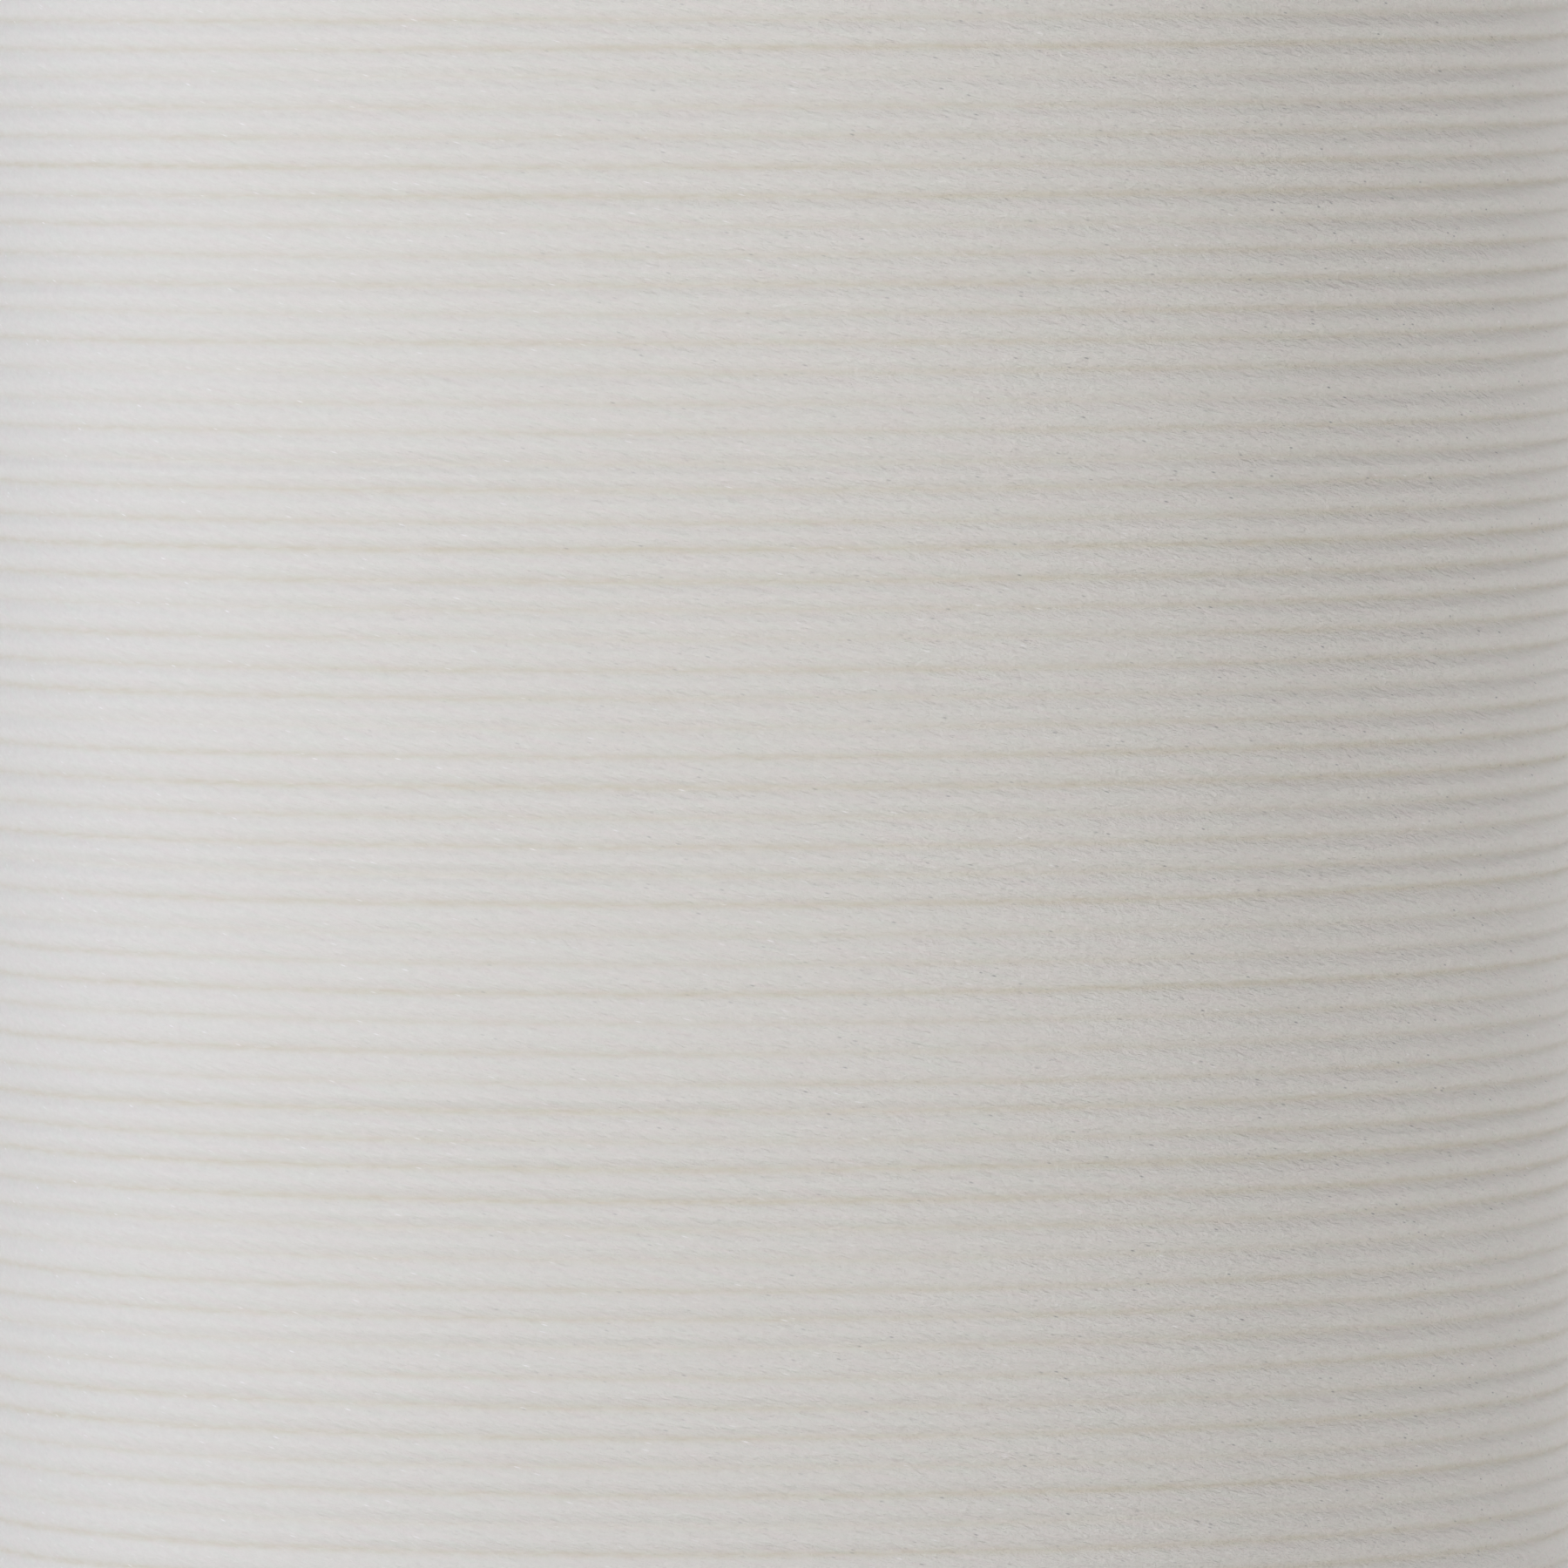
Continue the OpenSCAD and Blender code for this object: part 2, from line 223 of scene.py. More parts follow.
def waxed_polyester():
    """Waxed low-twist polyester: satin white filaments on a slant; cream where wax gathers at the edges,
    also darkened there as painted shade of the seams; painted glints of filaments, and dashes of painted
    shade on the side away from the lamps.
    """
    material, tree, shader = new_material(
        "waxed_polyester", Roughness=0.52, IOR=1.5, Anisotropic=0.4, Anisotropic_Rotation=0.25)
    along = add(tree, "ShaderNodeTangent", direction_type="UV_MAP", uv_map="thread_mm")
    tree.links.new(along.outputs["Tangent"], shader.inputs["Tangent"])
    uv = add(tree, "ShaderNodeUVMap", uv_map="thread_mm").outputs["UV"]
    slant = add(tree, "ShaderNodeMapping", {"Vector": uv, "Rotation": (0, 0, FILAMENT_SLANT)})
    slanted = slant.outputs["Vector"]
    strands = add(tree, "ShaderNodeMapping", {
        "Vector": slanted, "Scale": (1 / FILAMENT_LENGTH, 1 / FILAMENT_WIDTH, 1)})
    fine = add(tree, "ShaderNodeTexNoise", {
        "Vector": strands.outputs["Vector"], "Scale": 1.0, "Detail": 3.5, "Roughness": 0.8},
        noise_dimensions="2D")
    bundles = add(tree, "ShaderNodeMapping", {"Vector": slanted, "Scale": BUNDLES_PER_MM})
    broad = add(tree, "ShaderNodeTexNoise", {
        "Vector": bundles.outputs["Vector"], "Scale": 1.0, "Detail": 2.0}, noise_dimensions="2D")
    tone = add(tree, "ShaderNodeMix", {
        "Factor": fine.outputs["Fac"], 6: linear("#d7d6d2"), 7: linear("#e4e4e0")}, data_type="RGBA")
    # Cream wax at the seams, with painted shade: its colour there is darker as well as yellower than the
    # thread's.
    wax = add(tree, "ShaderNodeAttribute", attribute_name="wax").outputs["Fac"]
    smeared = add(tree, "ShaderNodeMapping", {"Vector": uv, "Scale": SMEARS_PER_MM})
    patches = add(tree, "ShaderNodeTexNoise", {
        "Vector": smeared.outputs["Vector"], "Scale": 1.0, "Detail": 3.0}, noise_dimensions="2D")
    spread = add(tree, "ShaderNodeMapRange", {
        "Value": patches.outputs["Fac"], "From Min": 0.3, "From Max": 0.7, "To Min": 0.65, "To Max": 1.35})
    patchy = add(tree, "ShaderNodeMath", {0: wax, 1: spread.outputs[0]}, operation="MULTIPLY",
                 use_clamp=True)
    waxed = add(tree, "ShaderNodeMix", {
        "Factor": patchy.outputs[0], 6: tone.outputs[2], 7: linear("#d1cdbf")}, data_type="RGBA")
    hue = add(tree, "ShaderNodeMix", {
        "Factor": broad.outputs["Fac"], 6: linear("#fffaf9"), 7: linear("#fafff9")}, data_type="RGBA")
    tinted = add(tree, "ShaderNodeMix", {"Factor": 1.0, 6: waxed.outputs[2], 7: hue.outputs[2]},
                 data_type="RGBA", blend_type="MULTIPLY")
    # Painted glints: short near-white dashes where single filaments would catch the lamps.
    painted_glint = dashes(tree, slanted, GLINT_CELL, GLINT_SHARE, GLINT_REACH)
    glinted = add(tree, "ShaderNodeMix", {"Factor": painted_glint, 6: tinted.outputs[2], 7: linear("#f4f4f3")},
                  data_type="RGBA")
    # Painted shade: short dark dashes, strongest on the rubbed side of the winding, which is the side away
    # from the lamps.
    shade_dash = dashes(tree, slanted, SHADE_DASH_CELL, SHADE_DASH_SHARE, SHADE_DASH_REACH)
    rubbed = add(tree, "ShaderNodeAttribute", attribute_name="rubbed").outputs["Fac"]
    painted_shade_dashes = add(tree, "ShaderNodeMath", {0: shade_dash, 1: rubbed}, operation="MULTIPLY")
    final = add(tree, "ShaderNodeMix", {
        "Factor": painted_shade_dashes.outputs[0], 6: glinted.outputs[2], 7: linear("#7f8284")}, data_type="RGBA")
    tree.links.new(final.outputs[2], shader.inputs["Base Color"])
    relief = add(tree, "ShaderNodeMath", {0: rubbed, 1: RUBBED_RELIEF, 2: FILAMENT_RELIEF},
                 operation="MULTIPLY_ADD")
    heights = add(tree, "ShaderNodeMath", {0: fine.outputs["Fac"], 1: relief.outputs[0]},
                  operation="MULTIPLY")
    lumps = add(tree, "ShaderNodeMath", {
        0: broad.outputs["Fac"], 1: BUNDLE_RELIEF, 2: heights.outputs[0]}, operation="MULTIPLY_ADD")
    bump = add(tree, "ShaderNodeBump", {"Height": lumps.outputs[0], "Distance": 1.0})
    tree.links.new(bump.outputs["Normal"], shader.inputs["Normal"])
    return material


def cream_wax():
    """Wax over the layers below, under the seams: smooth, cream, a little uneven."""
    material, tree, shader = new_material("cream_wax", Roughness=0.45)
    place = add(tree, "ShaderNodeTexCoord").outputs["Object"]
    level = 1 / (2.5 * MM)  # a smear's length
    upright = 1 / (0.4 * MM)  # and its width
    smears = add(tree, "ShaderNodeMapping", {"Vector": place, "Scale": (level, level, upright)})
    uneven = add(tree, "ShaderNodeTexNoise", {"Vector": smears.outputs["Vector"], "Scale": 1.0})
    tone = add(tree, "ShaderNodeValToRGB", {"Fac": uneven.outputs["Fac"]})
    tone.color_ramp.elements[0].position = 0.3
    tone.color_ramp.elements[0].color = linear("#d2cbbd")
    tone.color_ramp.elements[1].position = 0.7
    tone.color_ramp.elements[1].color = linear("#d6d3c5")
    tree.links.new(tone.outputs["Color"], shader.inputs["Base Color"])
    return material


def moulded_abs():
    """Injection-moulded ABS with a spark-eroded skin: charcoal, satin, finely pitted; rubbed edges shine."""
    material, tree, shader = new_material("moulded_abs", IOR=1.53)
    place = add(tree, "ShaderNodeTexCoord").outputs["Object"]
    pits = add(tree, "ShaderNodeTexNoise", {"Vector": place, "Scale": 1 / (0.35 * MM), "Detail": 2.0})
    flow = add(tree, "ShaderNodeTexNoise", {"Vector": place, "Scale": 1 / (14 * MM), "Detail": 3.0})
    rubbed = add(tree, "ShaderNodeAttribute", attribute_name="edge").outputs["Fac"]
    patchy = add(tree, "ShaderNodeMath", {0: rubbed, 1: flow.outputs["Fac"]}, operation="MULTIPLY")
    tone = add(tree, "ShaderNodeValToRGB", {"Fac": flow.outputs["Fac"]})
    tone.color_ramp.elements[0].position = 0.3
    tone.color_ramp.elements[0].color = linear("#242629")
    tone.color_ramp.elements[1].position = 0.7
    tone.color_ramp.elements[1].color = linear("#2b2d30")
    worn = add(tree, "ShaderNodeMix", {
        "Factor": patchy.outputs[0], 6: tone.outputs["Color"], 7: linear("#4c4e52")}, data_type="RGBA")
    tree.links.new(worn.outputs[2], shader.inputs["Base Color"])
    sheen = add(tree, "ShaderNodeMapRange", {
        "Value": pits.outputs["Fac"], "From Min": 0.3, "From Max": 0.7, "To Min": 0.4, "To Max": 0.56})
    smoother = add(tree, "ShaderNodeMath", {0: rubbed, 1: -0.12, 2: sheen.outputs[0]},
                   operation="MULTIPLY_ADD")
    tree.links.new(smoother.outputs[0], shader.inputs["Roughness"])
    depth = add(tree, "ShaderNodeMath", {0: pits.outputs["Fac"], 1: 0.025 * MM}, operation="MULTIPLY")
    bump = add(tree, "ShaderNodeBump", {"Height": depth.outputs[0], "Distance": 1.0, "Strength": 0.8})
    tree.links.new(bump.outputs["Normal"], shader.inputs["Normal"])
    return material


def wound_kraft():
    """Spiral-wound kraft paper: brown, matte, long fibres, and the butt joint of its outer ply."""
    material, tree, shader = new_material("wound_kraft_paper", Roughness=0.85)
    place = add(tree, "ShaderNodeTexCoord").outputs["Object"]
    split = add(tree, "ShaderNodeSeparateXYZ", {0: place})
    turned = add(tree, "ShaderNodeMath", {0: split.outputs["Y"], 1: split.outputs["X"]}, operation="ARCTAN2")
    ply = 40 * MM  # of tube that one turn of the ply climbs
    climb = add(tree, "ShaderNodeMath", {0: turned.outputs[0], 1: 1 / TURN}, operation="MULTIPLY")
    rise = add(tree, "ShaderNodeMath", {0: split.outputs["Z"], 1: 1 / ply, 2: climb.outputs[0]},
               operation="MULTIPLY_ADD")
    seam = add(tree, "ShaderNodeMath", {0: rise.outputs[0], 1: 1.0}, operation="FRACT")
    joint = add(tree, "ShaderNodeMath", {0: seam.outputs[0], 1: 0.4 * MM / ply}, operation="LESS_THAN")
    fibres = add(tree, "ShaderNodeTexNoise", {"Vector": place, "Scale": 1 / (0.8 * MM), "Detail": 4.0})
    tone = add(tree, "ShaderNodeValToRGB", {"Fac": fibres.outputs["Fac"]})
    tone.color_ramp.elements[0].position = 0.25
    tone.color_ramp.elements[0].color = linear("#8f6f4c")
    tone.color_ramp.elements[1].position = 0.75
    tone.color_ramp.elements[1].color = linear("#b3936c")
    jointed = add(tree, "ShaderNodeMix", {
        "Factor": joint.outputs[0], 6: tone.outputs["Color"], 7: linear("#6d5238")}, data_type="RGBA")
    tree.links.new(jointed.outputs[2], shader.inputs["Base Color"])
    bump = add(tree, "ShaderNodeBump", {"Height": fibres.outputs["Fac"], "Distance": 0.05 * MM})
    tree.links.new(bump.outputs["Normal"], shader.inputs["Normal"])
    return material


def label_paper():
    """Uncoated label stock: warm white, matte, faintly fibrous, with two plain printed rings."""
    material, tree, shader = new_material("uncoated_label_paper", Roughness=0.72)
    place = add(tree, "ShaderNodeTexCoord").outputs["Object"]
    flat = add(tree, "ShaderNodeMapping", {"Vector": place, "Scale": (1 / MM, 1 / MM, 0)})
    radius = add(tree, "ShaderNodeVectorMath", {0: flat.outputs["Vector"]}, operation="LENGTH")
    rings = None
    for at, half in LABEL_RINGS:
        ring = add(tree, "ShaderNodeMath", {0: radius.outputs["Value"], 1: at, 2: half}, operation="COMPARE")
        if rings is None:
            rings = ring.outputs[0]
        else:
            both = add(tree, "ShaderNodeMath", {0: rings, 1: ring.outputs[0]}, operation="MAXIMUM")
            rings = both.outputs[0]
    fibres = add(tree, "ShaderNodeTexNoise", {"Vector": place, "Scale": 1 / (0.5 * MM), "Detail": 4.0})
    tone = add(tree, "ShaderNodeValToRGB", {"Fac": fibres.outputs["Fac"]})
    tone.color_ramp.elements[0].position = 0.3
    tone.color_ramp.elements[0].color = linear("#e6e1d5")
    tone.color_ramp.elements[1].position = 0.7
    tone.color_ramp.elements[1].color = linear("#ece8dd")
    printed = add(tree, "ShaderNodeMix", {"Factor": rings, 6: tone.outputs["Color"], 7: linear("#5b5348")},
                  data_type="RGBA")
    tree.links.new(printed.outputs[2], shader.inputs["Base Color"])
    bump = add(tree, "ShaderNodeBump", {"Height": fibres.outputs["Fac"], "Distance": 0.02 * MM})
    tree.links.new(bump.outputs["Normal"], shader.inputs["Normal"])
    return material


def acetate_tape():
    """Matte acetate tape: frosted, straw-tinted, with faint crosswise streaks."""
    material, tree, shader = new_material("acetate_tape", Roughness=0.5)
    place = add(tree, "ShaderNodeTexCoord").outputs["Object"]
    level = 0.3 / MM  # streaks 3.3 mm long
    upright = 2 / MM  # and 0.5 mm wide
    stretched = add(tree, "ShaderNodeMapping", {"Vector": place, "Scale": (level, level, upright)})
    streaks = add(tree, "ShaderNodeTexNoise", {"Vector": stretched.outputs["Vector"], "Scale": 1.0})
    tone = add(tree, "ShaderNodeValToRGB", {"Fac": streaks.outputs["Fac"]})
    tone.color_ramp.elements[0].color = linear("#cfc6a4")
    tone.color_ramp.elements[1].color = linear("#e6dfc4")
    tree.links.new(tone.outputs["Color"], shader.inputs["Base Color"])
    bump = add(tree, "ShaderNodeBump", {"Height": streaks.outputs["Fac"], "Distance": 0.01 * MM})
    tree.links.new(bump.outputs["Normal"], shader.inputs["Normal"])
    return material


def painted_floor():
    """Matt painted board for the floor: plain and pale, with the faintest mottling."""
    material, tree, shader = new_material("painted_board", Roughness=0.75)
    place = add(tree, "ShaderNodeTexCoord").outputs["Object"]
    mottle = add(tree, "ShaderNodeTexNoise", {"Vector": place, "Scale": 1 / (60 * MM)})
    tone = add(tree, "ShaderNodeValToRGB", {"Fac": mottle.outputs["Fac"]})
    tone.color_ramp.elements[0].color = linear("#e4e3e1")
    tone.color_ramp.elements[1].color = linear("#e8e7e5")
    tree.links.new(tone.outputs["Color"], shader.inputs["Base Color"])
    return material


# ---- The winding ----
# t counts turns from the bottom. Each wander() is one unevenness of the thread: its size stands in
# front, in millimetres or as a share, and its seed and the turns that it takes to change follow t.

def turn_edge(t):
    """Height of the seam below the thread after t turns from the bottom."""
    even = WINDING_LOW + PITCH * np.asarray(t)
    inside = np.clip(np.minimum(t, TURNS + 1 - t), 0, 1)  # the end turns lie straight on the flanges
    return even + inside * MM * (
        0.055 * wander(t, 11, 0.43) + 0.018 * wander(t, 12, 0.07) + 0.006 * wander(t, 13, 0.017))


def seam_depth(t):
    """Depth of the seam there below the winding's outside, in millimetres."""
    return 0.138 + 0.04 * wander(t, 51, 0.8) + 0.014 * wander(t, 52, 0.13)


def seam_wax(t):
    """How much cream wax, and painted shade with it, shows along the seam there, from 0 to 1."""
    share = 0.5 + 0.22 * wander(t, 41, 0.8) + 0.12 * wander(t, 43, 0.17) + 0.08 * wander(t, 42, 0.03)
    return np.clip(share, 0.05, 1)


def rubbed_and_shaded_side(angle):
    """How much the winding is rubbed, and how strong its dashes of painted shade are: most on one side of
    the winding, from 0 to 1.
    """
    away = (angle - RUBBED_AND_SHADED_ANGLE + math.pi) % TURN - math.pi
    return np.clip(RUBBED_AND_SHADED_MOST - np.abs(away) / RUBBED_AND_SHADED_REACH, RUBBED_AND_SHADED_LEAST, 1)


def depth_below(t, across, depth):
    """Depth of a corner of the section there below the winding's outside, in millimetres."""
    crown = 0.012 * (1 + wander(t, 31, 0.7)) + 0.005 * (1 + wander(t, 33, 0.11))
    seam = seam_depth(np.where(across < 0, t, t + 1))  # the two turns at a seam are equally deep there
    seam *= 1 + RUBBED_DEEPER * rubbed_and_shaded_side(END_ANGLE + TURN * t)  # deeper where the wax is rubbed away
    sunk = np.minimum(depth / SECTION[0][1], 1)
    behind = np.maximum(depth - SECTION[0][1], 0)
    rise = np.clip((t - TURNS) / TOP_RISE + 1, 0, 1)  # the top end comes up from the layer below
    return crown * (1 - sunk) + seam * sunk + behind + LAYER * rise * rise * (3 - 2 * rise)


def wound_thread(name, first, last, material):
    """The thread of the outer layer from turn first to turn last."""
    steps = round((last - first) * TURN_STEPS)
    sides = len(SECTION)
    bm = bmesh.new()
    bmesh.ops.create_grid(bm, x_segments=steps, y_segments=sides, size=1)
    mesh = bpy.data.meshes.new(name)
    bm.to_mesh(mesh)
    bm.free()
    co = np.empty(len(mesh.vertices) * 3, np.float32)
    mesh.vertices.foreach_get("co", co)
    co = co.reshape(-1, 3)
    t = first + np.round((co[:, 0] + 1) / 2 * steps) / steps * (last - first)
    corner = np.round((co[:, 1] + 1) / 2 * sides).astype(int) % sides
    across, depth = np.array(SECTION)[corner].T
    low, high = turn_edge(t), turn_edge(t + 1)
    z = (low + high) / 2 + ((high - low) / 2 - SEAM_GAP / 2) * across
    r = WINDING_R - depth_below(t, across, depth) * MM
    angle = END_ANGLE + TURN * t
    co[:, 0], co[:, 1], co[:, 2] = r * np.cos(angle), r * np.sin(angle), z
    mesh.vertices.foreach_set("co", co.ravel())
    uv = mesh.uv_layers.new(name="thread_mm")
    loop_vertex = np.empty(len(mesh.loops), np.int32)
    mesh.loops.foreach_get("vertex_index", loop_vertex)
    along = t * TURN * WINDING_R / MM
    place = np.stack([along, (z - WINDING_LOW - PITCH * t) / MM], 1)[loop_vertex]
    uv.data.foreach_set("uv", place.astype(np.float32).ravel())
    # Cream wax and painted shade along the seams, for the material.
    waxed = seam_wax(np.where(across < 0, t, t + 1)) * WAX_AND_SHADE_REACH[np.clip(corner, 0, len(WAX_AND_SHADE_REACH) - 1)]
    # The rubbed share also sets how strong the dashes of painted shade are.
    give_points(mesh, wax=waxed, rubbed=rubbed_and_shaded_side(angle))
    bm = bmesh.new()
    bm.from_mesh(mesh)
    bmesh.ops.remove_doubles(bm, verts=bm.verts, dist=THREAD_MERGE)
    bmesh.ops.holes_fill(bm, edges=[e for e in bm.edges if e.is_boundary], sides=0)
    bmesh.ops.recalc_face_normals(bm, faces=bm.faces)
    bm.to_mesh(mesh)
    bm.free()
    smooth(mesh)
    mesh.set_sharp_from_angle(angle=THREAD_CREASE)
    return new_object(name, mesh, material, "spool", ["outer_turns"])


def outer_layer(material):
    """The outer layer in four pieces, which meet at the back."""
    back = round((PIECE_JOINT_ANGLE - END_ANGLE) / TURN * TURN_STEPS) / TURN_STEPS
    cuts = [0, 23 + back, 47 + back, 71 + back, TURNS]
    for i in range(4):
        wound_thread(f"outer_layer_{i + 1}", cuts[i], cuts[i + 1], material)


def turned(name, outline, steps, material, body, slot, replaces):
    """A ring or disc turned round the axis from its outline of radius and height in millimetres."""
    bm = bmesh.new()
    verts = [bm.verts.new((r * MM, 0, z * MM)) for r, z in outline]
    edges = [bm.edges.new((verts[i - 1], verts[i])) for i in range(len(verts))]
    bmesh.ops.spin(bm, geom=verts + edges, axis=(0, 0, 1), cent=(0, 0, 0), angle=TURN, steps=steps,
                   use_merge=True)
    bmesh.ops.recalc_face_normals(bm, faces=bm.faces)
    mesh = bpy.data.meshes.new(name)
    bm.to_mesh(mesh)
    bm.free()
    return new_object(name, mesh, material, body, replaces)


def inner_layers():
    """The layers below, as one body of waxed thread, with room at each end for the ring that shows there."""
    r_out = (WINDING_R - WAX_DEPTH) / MM
    r_end = WINDING_R / MM - LAYER - INNER_END_DROP
    low = WINDING_LOW / MM + INNER_END_GAP
    high = WINDING_HIGH / MM - INNER_END_GAP
    low_step = low + INNER_END_STEP
    high_step = high - INNER_END_STEP
    outline = [(INNER_R, low), (r_end, low), (r_end, low_step), (r_out, low_step), (r_out, high_step),
               (r_end, high_step), (r_end, high), (INNER_R, high)]
    turned("inner_layers", outline, INNER_STEPS, cream_wax(), "spool", "thread", ["thread_pack"])


def end_ring(name, middle_z, material):
    """The last turn of the layer below, against a flange: it shows where the outer layer leaves a gap."""
    outline = [(WINDING_R / MM - LAYER - depth, middle_z / MM + END_RING_HALF * across)
               for across, depth in SECTION]
    mesh = turned(name, outline, END_RING_STEPS, material, "spool", "thread", ["outer_turns"]).data
    smooth(mesh)
    uv = mesh.uv_layers.new(name="thread_mm")
    for face in mesh.polygons:
        middle = math.atan2(face.center.y, face.center.x)
        for i in face.loop_indices:
            x, y, z = mesh.vertices[mesh.loops[i].vertex_index].co
            past = (math.atan2(y, x) - middle + math.pi) % TURN - math.pi
            uv.data[i].uv = ((middle + past) * WINDING_R / MM, z / MM)


def thread_end(material):
    """The thread's end: flat where it leaves the winding, round where it runs free and is pinched."""
    on_ledge = [TAIL_DROP[-1][0] - i for i in range(TAIL_STEP, TAIL_RUN + 1, TAIL_STEP)]
    angles = [p[0] for p in TAIL_DROP] + on_ledge
    downs = [p[1] for p in TAIL_DROP] + [1] * (len(angles) - len(TAIL_DROP))
    at = np.linspace(0, len(angles) - 1, TAIL_RINGS * len(angles))
    angle = np.radians(NOTCH_ANGLE + np.interp(at, range(len(angles)), angles))
    down = np.interp(at, range(len(angles)), downs)
    weights = np.hanning(TAIL_EVENED) / np.hanning(TAIL_EVENED).sum()
    down = np.convolve(np.pad(down, TAIL_EVENED // 2, "edge"), weights, "valid")
    radius = TAIL_HIGH[0] + down * (TAIL_LOW[0] - TAIL_HIGH[0])
    height = TAIL_HIGH[1] + down * (TAIL_LOW[1] - TAIL_HIGH[1])
    centre = np.stack([radius * np.cos(angle), radius * np.sin(angle), height], 1)
    ahead = np.gradient(centre, axis=0)
    ahead /= np.linalg.norm(ahead, axis=1)[:, None]
    outward = np.stack([np.cos(angle), np.sin(angle), 0 * angle], 1)
    outward -= ahead * (outward * ahead).sum(1)[:, None]
    outward /= np.linalg.norm(outward, axis=1)[:, None]
    upward = np.cross(outward, ahead) * np.sign(np.cross(outward, ahead)[0, 2])
    length = np.r_[0, np.cumsum(np.linalg.norm(np.diff(centre, axis=0), axis=1))]
    rounded = np.clip(length / TAIL_EASE, 0, 1)[:, None]
    rounded = rounded * rounded * (3 - 2 * rounded)
    across, depth = np.array(SECTION).T
    flat_up = across * PITCH / MM / 2
    flat_out = WINDING_R / MM - TAIL_HIGH[0] - depth_below(0 * across, across, depth)
    around = np.arctan2(flat_out * 2, flat_up)  # a turn is about twice as wide as it is thick
    up = flat_up + (TAIL_D / 2 * np.cos(around) - flat_up) * rounded
    out = flat_out + (TAIL_D / 2 * np.sin(around) - flat_out) * rounded
    ring = centre[:, None] + upward[:, None] * up[..., None] + outward[:, None] * out[..., None]
    rings, sides = up.shape
    bm = bmesh.new()
    rows = [[bm.verts.new(point * MM) for point in row] for row in ring]
    uv = bm.loops.layers.uv.new("thread_mm")
    for i in range(rings - 1):
        for k in range(sides):
            j = (k + 1) % sides
            face = bm.faces.new((rows[i][k], rows[i][j], rows[i + 1][j], rows[i + 1][k]))
            for loop, (u, v) in zip(face.loops, ((i, k), (i, k + 1), (i + 1, k + 1), (i + 1, k))):
                loop[uv].uv = (-length[u], v * TURN * TAIL_D / 2 / sides)
    bm.faces.new(rows[0])
    bm.faces.new(rows[-1])
    bmesh.ops.recalc_face_normals(bm, faces=bm.faces)
    mesh = bpy.data.meshes.new("thread_end")
    bm.to_mesh(mesh)
    bm.free()
    smooth(mesh)
    mesh.set_sharp_from_angle(angle=THREAD_CREASE)
    reach = WAX_AND_SHADE_REACH[np.clip(np.arange(sides), 0, len(WAX_AND_SHADE_REACH) - 1)]
    # Cream wax and painted shade along the seams, gone where the end is round.
    waxed = seam_wax(np.where(across < 0, 0, 1)) * reach * (1 - rounded)
    # The rubbed share also sets how strong the dashes of painted shade are.
    give_points(mesh, wax=waxed, rubbed=np.repeat(rubbed_and_shaded_side(angle), sides))
    return new_object("thread_end", mesh, material, "spool", ["thread_tail"])


# ---- Moulded parts, core and labels ----

def eased_moulding(name, node, body, material):
    """A moulded part with its solid's shape and its sharp edges rounded as a mould's are."""
    bm = bmesh.new()
    bm.from_mesh(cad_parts[node].data)
    bmesh.ops.remove_doubles(bm, verts=bm.verts, dist=MOULDING_MERGE)
    bmesh.ops.dissolve_limit(bm, angle_limit=FLAT, verts=bm.verts, edges=bm.edges)
    bmesh.ops.recalc_face_normals(bm, faces=bm.faces)
    sharp = [e for e in bm.edges if len(e.link_faces) == 2 and e.calc_face_angle() > SHARP]
    edge = bm.verts.layers.float.new("edge")
    made = bmesh.ops.bevel(bm, geom=sharp, offset=EDGE_WIDTH, affect="EDGES", segments=2, profile=0.5,
                           material=-1, clamp_overlap=True)
    for face in made["faces"]:
        for vert in face.verts:
            vert[edge] = 1
    mesh = bpy.data.meshes.new(name)
    bm.to_mesh(mesh)
    bm.free()
    smooth(mesh)
    mesh.set_sharp_from_angle(angle=MOULDING_CREASE)
    return new_object(name, mesh, material, body, [node])


def dress(node, material):
    """Gives a carried-over solid its material."""
    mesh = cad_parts[node].data
    mesh.materials.clear()
    mesh.materials.append(material)


# ---- Camera, light and floor ----

def camera():
    """A long lens level with the winding's upper part, looking a little down."""
    distance = DISTANCE_IN_RADII * WINDING_R
    focal = WINDING_R_PIXELS * math.sqrt(DISTANCE_IN_RADII ** 2 - 1)
    data = bpy.data.cameras.new("camera")
    data.sensor_width = SENSOR / MM
    data.lens = focal / VIEW * SENSOR / MM
    data.clip_start = 0.05
    data.clip_end = 50
    pitch = math.atan((VIEW / 2 - HORIZON_Y) / focal)
    sideways = (VIEW / 2 - AXIS_X) / focal * distance
    height = VIEW_MIDDLE_Z + math.tan(pitch) * (distance - WINDING_R)
    cam = bpy.data.objects.new("camera", data)
    cam.location = (sideways, -distance, height)
    cam.rotation_euler = (math.radians(90) - pitch, 0, 0)
    bpy.context.scene.collection.objects.link(cam)
    bpy.context.scene.camera = cam


# Azimuth and elevation in degrees (0 is the camera's side, + is right), distance, width and height in
# metres, watts and colour
LAMPS = {
    "key": (-50, 13, 1.2, 0.3, 0.85, 4.3, "#f2f5ff"),
    "front": (-1, 8, 1.2, 0.5, 0.5, 4.02, "#fffbfa"),
    "right": (68, 2, 1.2, 0.5, 0.1, 1.62, "#fff8f4"),
    "left": (-105, 12, 1.2, 0.8, 0.8, 2.69, "#e9edff"),
    "back": (172, 50, 1.2, 0.8, 0.8, 10.6, "#ffffff"),
}
WORLD = 0.328  # strength of the even light from all round
WORLD_COLOUR = "#f8f2fd"
BACKGROUND = 0.72  # strength of the pale backdrop, as the camera and gloss see it
FLOOR_HALF = 8  # metres from the floor's middle to its edges


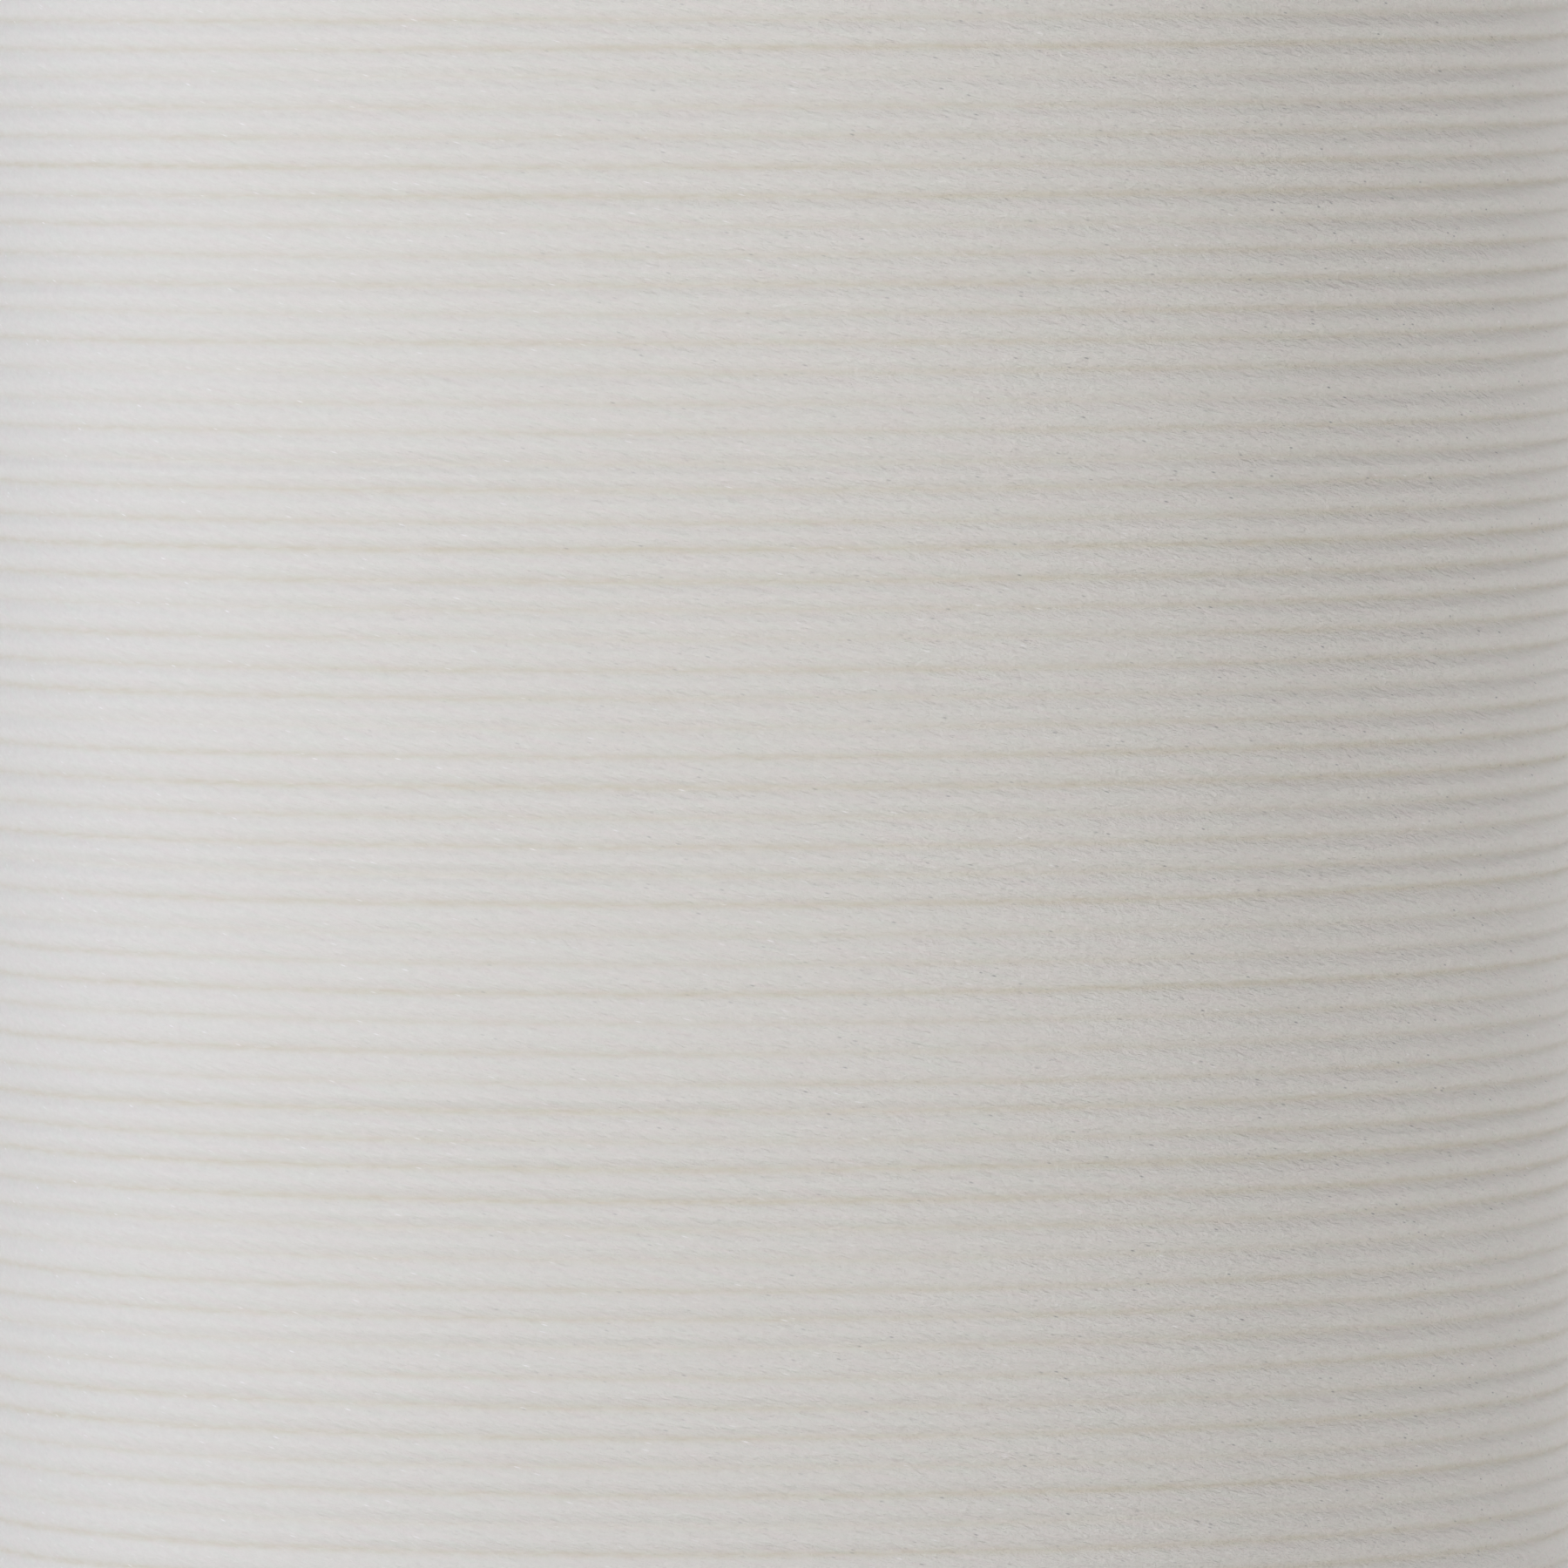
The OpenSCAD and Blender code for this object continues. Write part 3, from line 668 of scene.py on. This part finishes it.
def lamp(name, azimuth, elevation, distance, width, height, watts, colour):
    """A soft rectangular lamp aimed at the spool's middle."""
    a, e = math.radians(azimuth), math.radians(elevation)
    data = bpy.data.lights.new(name, "AREA")
    data.shape = "RECTANGLE"
    data.size, data.size_y = width, height
    data.energy = watts
    data.color = linear(colour)[:3]
    lamp_object = bpy.data.objects.new(name, data)
    offset = Vector((math.sin(a) * math.cos(e), -math.cos(a) * math.cos(e), math.sin(e))) * distance
    lamp_object.location = Vector((0, 0, VIEW_MIDDLE_Z)) + offset
    lamp_object.rotation_euler = offset.to_track_quat("Z", "Y").to_euler()
    bpy.context.scene.collection.objects.link(lamp_object)


def studio():
    """The lamps, the floor and a plain pale world."""
    for name, values in LAMPS.items():
        lamp(name, *values)
    bm = bmesh.new()
    bmesh.ops.create_grid(bm, x_segments=1, y_segments=1, size=FLOOR_HALF)
    mesh = bpy.data.meshes.new("floor")
    bm.to_mesh(mesh)
    bm.free()
    floor = bpy.data.objects.new("floor", mesh)
    bpy.context.scene.collection.objects.link(floor)
    mesh.materials.append(painted_floor())
    world = bpy.data.worlds.new("studio")
    bpy.context.scene.world = world
    world.use_nodes = True
    tree = world.node_tree
    tree.nodes["Background"].inputs["Color"].default_value = linear(WORLD_COLOUR)
    tree.nodes["Background"].inputs["Strength"].default_value = WORLD
    seen = add(tree, "ShaderNodeBackground", {"Color": linear("#ffffff"), "Strength": BACKGROUND})
    ray = add(tree, "ShaderNodeLightPath")
    camera_or_gloss = add(tree, "ShaderNodeMath", {
        0: ray.outputs["Is Camera Ray"], 1: ray.outputs["Is Glossy Ray"]}, operation="MAXIMUM")
    or_clear = add(tree, "ShaderNodeMath", {
        0: camera_or_gloss.outputs[0], 1: ray.outputs["Is Transmission Ray"]}, operation="MAXIMUM")
    mixed = add(tree, "ShaderNodeMixShader", {
        0: or_clear.outputs[0], 1: tree.nodes["Background"].outputs[0], 2: seen.outputs[0]})
    tree.links.new(mixed.outputs[0], tree.nodes["World Output"].inputs["Surface"])
    bpy.context.scene.view_settings.view_transform = "Standard"


camera()
studio()
thread = waxed_polyester()
outer_layer(thread)
inner_layers()
end_ring("layer_below_low_end", WINDING_LOW + PITCH / 2, thread)
end_ring("layer_below_high_end", WINDING_HIGH - PITCH / 2, thread)
thread_end(thread)
abs_plastic = moulded_abs()
eased_moulding("top_flange_moulding", "top_flange", "spool", abs_plastic)
eased_moulding("bottom_flange_moulding", "bottom_flange", "spool", abs_plastic)
eased_moulding("snap_base_moulding", "snap_base", "base", abs_plastic)
dress("core_tube", wound_kraft())
paper = label_paper()
dress("top_label", paper)
dress("base_label", paper)
dress("start_tape", acetate_tape())
